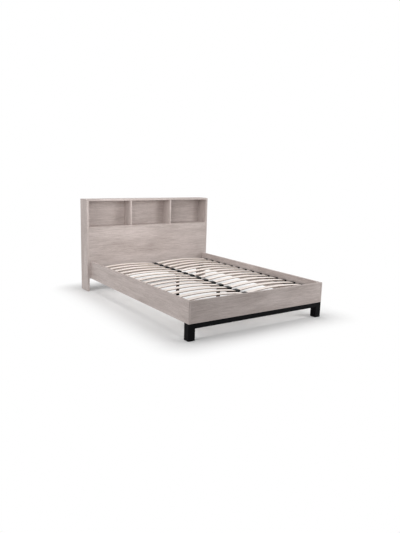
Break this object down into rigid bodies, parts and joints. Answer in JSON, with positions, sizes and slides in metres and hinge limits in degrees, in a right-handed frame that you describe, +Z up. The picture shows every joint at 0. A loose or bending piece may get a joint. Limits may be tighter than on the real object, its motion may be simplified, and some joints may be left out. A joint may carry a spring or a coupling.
{
  "type": "bookcase headboard bed",
  "caption": "Fixed bed frame with an open bookcase headboard, board side rails and foot panel, sprung slats on a centre rail, and a black leg frame at the foot.",
  "frame": {"origin": "on the floor, at the middle of the bed's footprint", "axes": "+Y from the foot towards the headboard, +Z up, +X to the right as seen from the foot"},
  "size_m": [1.65, 2.216, 1.05],
  "materials": {
    "oak_laminate": "pale grey-brown oak-grain laminate on board, matt, edged in the same grain",
    "birch_slat": "bent birch plywood slat, pale and smooth, with darker layered edges",
    "black_steel": "satin black powder coat on steel",
    "black_plastic": "moulded black plastic",
    "zinc_steel": "zinc-plated steel fittings",
    "plain_timber": "plain unfinished timber",
    "glide_plastic": "grey plastic glides"
  },
  "bodies": {
    "root": {"top_panel": "oak_laminate", "gable_left": "oak_laminate", "gable_right": "oak_laminate", "divider_1": "oak_laminate", "divider_2": "oak_laminate", "compartment_floor": "oak_laminate", "headboard_front_panel": "oak_laminate", "headboard_back_panel": "oak_laminate", "side_rail_left": "oak_laminate", "side_rail_right": "oak_laminate", "foot_panel": "oak_laminate", "slat_ledge_left": "black_steel", "slat_ledge_right": "black_steel", "centre_rail": "black_steel", "centre_rail_cups": "black_steel", "centre_leg_head": "black_steel", "centre_leg_foot": "black_steel", "foot_leg_left": "black_steel", "foot_leg_right": "black_steel", "foot_crossbar": "black_steel", "head_corner_brackets": "black_steel", "leg_plugs": "black_plastic", "side_slat_holders": "black_plastic", "centre_slat_holders": "black_plastic", "gable_glides": "glide_plastic", "foot_corner_blocks": "plain_timber", "panel_dowels": "plain_timber", "cam_fittings": "zinc_steel", "frame_bolts": "zinc_steel", "wood_screws": "zinc_steel", "slat_left_01": "birch_slat", "slat_left_02": "birch_slat", "slat_left_03": "birch_slat", "slat_left_04": "birch_slat", "slat_left_05": "birch_slat", "slat_left_06": "birch_slat", "slat_left_07": "birch_slat", "slat_left_08": "birch_slat", "slat_left_09": "birch_slat", "slat_left_10": "birch_slat", "slat_left_11": "birch_slat", "slat_left_12": "birch_slat", "slat_left_13": "birch_slat", "slat_left_14": "birch_slat", "slat_left_15": "birch_slat", "slat_right_01": "birch_slat", "slat_right_02": "birch_slat", "slat_right_03": "birch_slat", "slat_right_04": "birch_slat", "slat_right_05": "birch_slat", "slat_right_06": "birch_slat", "slat_right_07": "birch_slat", "slat_right_08": "birch_slat", "slat_right_09": "birch_slat", "slat_right_10": "birch_slat", "slat_right_11": "birch_slat", "slat_right_12": "birch_slat", "slat_right_13": "birch_slat", "slat_right_14": "birch_slat", "slat_right_15": "birch_slat"}
  },
  "joints": []
}
